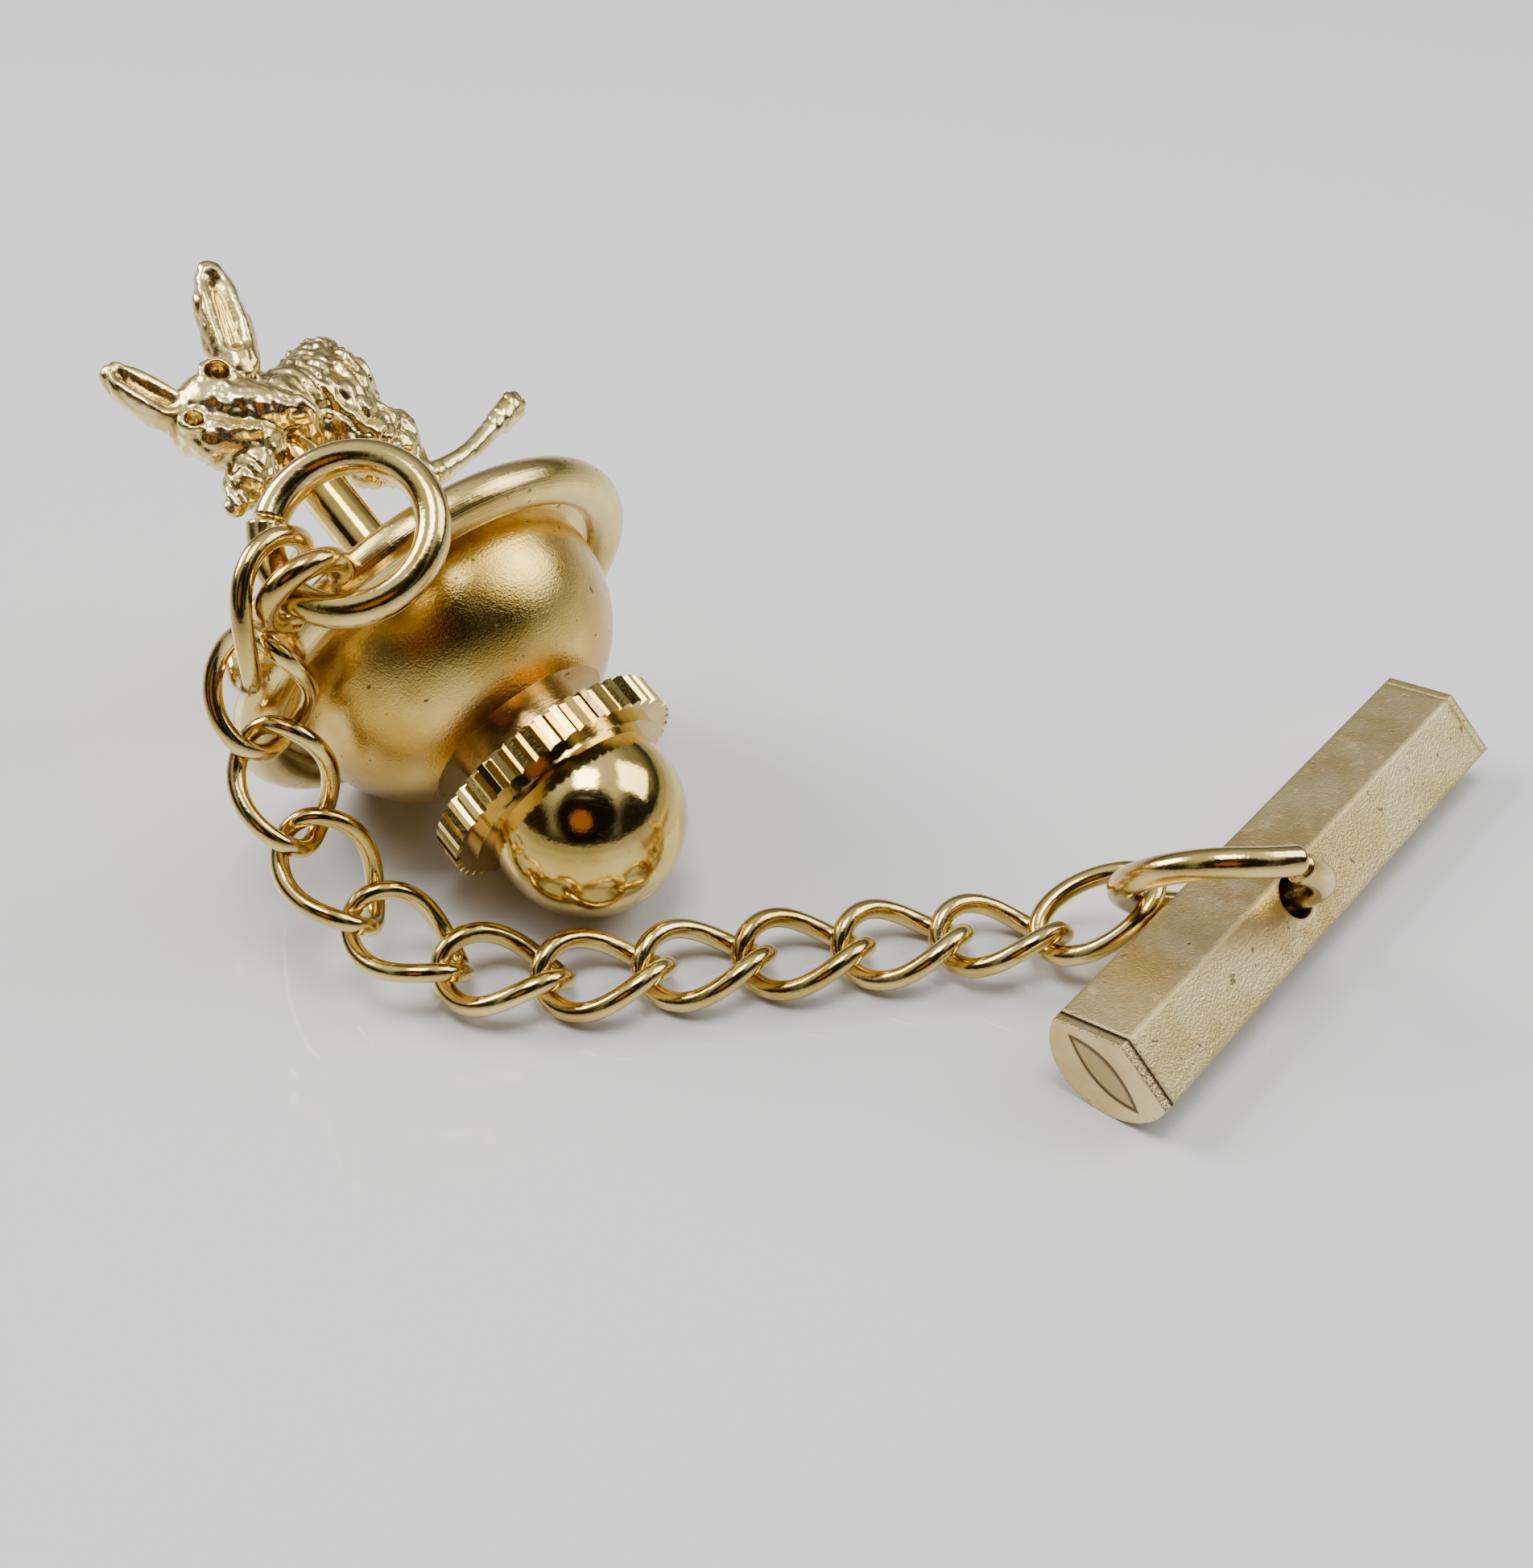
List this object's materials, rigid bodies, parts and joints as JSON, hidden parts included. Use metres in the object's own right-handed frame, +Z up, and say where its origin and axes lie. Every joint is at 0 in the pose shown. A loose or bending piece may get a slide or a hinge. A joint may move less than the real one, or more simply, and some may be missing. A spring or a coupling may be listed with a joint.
{
  "type": "tie tack with chain and bar",
  "caption": "Tie tack: cast animal figure on a pin, held by a sprung domed clutch with a ball knob, and a curb chain with jump rings that ends in a hollow T-bar.",
  "frame": {"origin": "on the surface the set rests on, between the clutch and the bar", "axes": "+Z up, +X from the clutch towards the bar, +Y away from the chain side"},
  "size_m": [0.0342, 0.0199, 0.0111],
  "materials": {
    "polished_gold": "polished",
    "chain_gold": "polished",
    "satin_gold": "satin",
    "worn_gold": "worn matte",
    "textured_gold": "textured",
    "steel": "bright"
  },
  "bodies": {
    "clutch": {"flange_plate": "polished_gold", "chain_lug": "polished_gold", "dome_shell": "satin_gold", "cone_housing": "satin_gold", "neck_bush": "satin_gold"},
    "knob": {"ball_cage": "satin_gold", "locking_balls": "steel", "spring_collar": "satin_gold", "release_spring": "steel", "neck_tube": "satin_gold", "knurled_ring": "polished_gold", "knob_seat": "polished_gold", "knob_ball": "polished_gold"},
    "pin": {"pin_post": "polished_gold", "animal_figure": "textured_gold"},
    "ring_1": {"jump_ring_1": "polished_gold"},
    "link_01": {"link_01": "chain_gold"},
    "link_02": {"link_02": "chain_gold"},
    "link_03": {"link_03": "chain_gold"},
    "link_04": {"link_04": "chain_gold"},
    "link_05": {"link_05": "chain_gold"},
    "link_06": {"link_06": "chain_gold"},
    "link_07": {"link_07": "chain_gold"},
    "link_08": {"link_08": "chain_gold"},
    "link_09": {"link_09": "chain_gold"},
    "link_10": {"link_10": "chain_gold"},
    "link_11": {"link_11": "chain_gold"},
    "link_12": {"link_12": "chain_gold"},
    "ring_2": {"jump_ring_2": "polished_gold"},
    "bar": {"bar_tube": "worn_gold", "bar_cap_near": "worn_gold", "bar_cap_far": "worn_gold"}
  },
  "joints": [
    {"name": "knob_slide", "type": "slide", "parent": "clutch", "child": "knob", "axis": [0.6254, -0.6476, -0.4354], "range_m": [0, 0.0004], "deforming": ["release_spring"]},
    {"name": "pin_slide", "type": "slide", "parent": "clutch", "child": "pin", "axis": [-0.6254, 0.6476, 0.4354], "range_m": [0, 0.007]},
    {"name": "lug_to_ring", "type": "hinge", "parent": "clutch", "child": "ring_1", "pos_m": [-0.00975, -0.00448, 0.00886], "axis": [0, 0, 1], "range_deg": [-4, 0]},
    {"name": "ring_to_chain", "type": "hinge", "parent": "ring_1", "child": "link_01", "pos_m": [-0.01046, -0.00406, 0.00917], "axis": [0, 0, -1], "range_deg": [0, 6]},
    {"name": "link_01_to_link_02", "type": "hinge", "parent": "link_01", "child": "link_02", "pos_m": [-0.011, -0.00467, 0.00757], "axis": [0, 0, 1], "range_deg": [-5, 1]},
    {"name": "link_02_to_link_03", "type": "hinge", "parent": "link_02", "child": "link_03", "pos_m": [-0.01095, -0.00494, 0.0053], "axis": [0, 0, -1], "range_deg": [-2, 15]},
    {"name": "link_03_to_link_04", "type": "hinge", "parent": "link_03", "child": "link_04", "pos_m": [-0.01035, -0.00583, 0.00329], "axis": [0, 0, 1], "range_deg": [-15, 2]},
    {"name": "link_04_to_link_05", "type": "hinge", "parent": "link_04", "child": "link_05", "pos_m": [-0.00901, -0.00677, 0.00171], "axis": [0, 0, -1], "range_deg": [-2, 15]},
    {"name": "link_05_to_link_06", "type": "hinge", "parent": "link_05", "child": "link_06", "pos_m": [-0.00705, -0.00744, 0.00076], "axis": [0, 0, 1], "range_deg": [-20, 4]},
    {"name": "link_06_to_link_07", "type": "hinge", "parent": "link_06", "child": "link_07", "pos_m": [-0.00479, -0.00772, 0.00068], "axis": [0, 0, -1], "range_deg": [-10, 15]},
    {"name": "link_07_to_link_08", "type": "hinge", "parent": "link_07", "child": "link_08", "pos_m": [-0.00253, -0.0074, 0.00066], "axis": [0, 0, 1], "range_deg": [-20, 20]},
    {"name": "link_08_to_link_09", "type": "hinge", "parent": "link_08", "child": "link_09", "pos_m": [-0.00028, -0.00701, 0.00066], "axis": [0, 0, -1], "range_deg": [-20, 20]},
    {"name": "link_09_to_link_10", "type": "hinge", "parent": "link_09", "child": "link_10", "pos_m": [0.00198, -0.00673, 0.00066], "axis": [0, 0, 1], "range_deg": [-20, 20]},
    {"name": "link_10_to_link_11", "type": "hinge", "parent": "link_10", "child": "link_11", "pos_m": [0.00423, -0.00635, 0.00068], "axis": [0, 0, -1], "range_deg": [-20, 8]},
    {"name": "link_11_to_link_12", "type": "hinge", "parent": "link_11", "child": "link_12", "pos_m": [0.00651, -0.00641, 0.00078], "axis": [0, 0, 1], "range_deg": [-10, 5]},
    {"name": "chain_to_ring", "type": "hinge", "parent": "link_12", "child": "ring_2", "pos_m": [0.00835, -0.00615, 0.0013], "axis": [0, 0, -1], "range_deg": [-3, 3]},
    {"name": "ring_to_bar", "type": "hinge", "parent": "ring_2", "child": "bar", "pos_m": [0.0113, -0.0059, 0.0016], "axis": [0, 0, 1], "range_deg": [0, 8]}
  ]
}
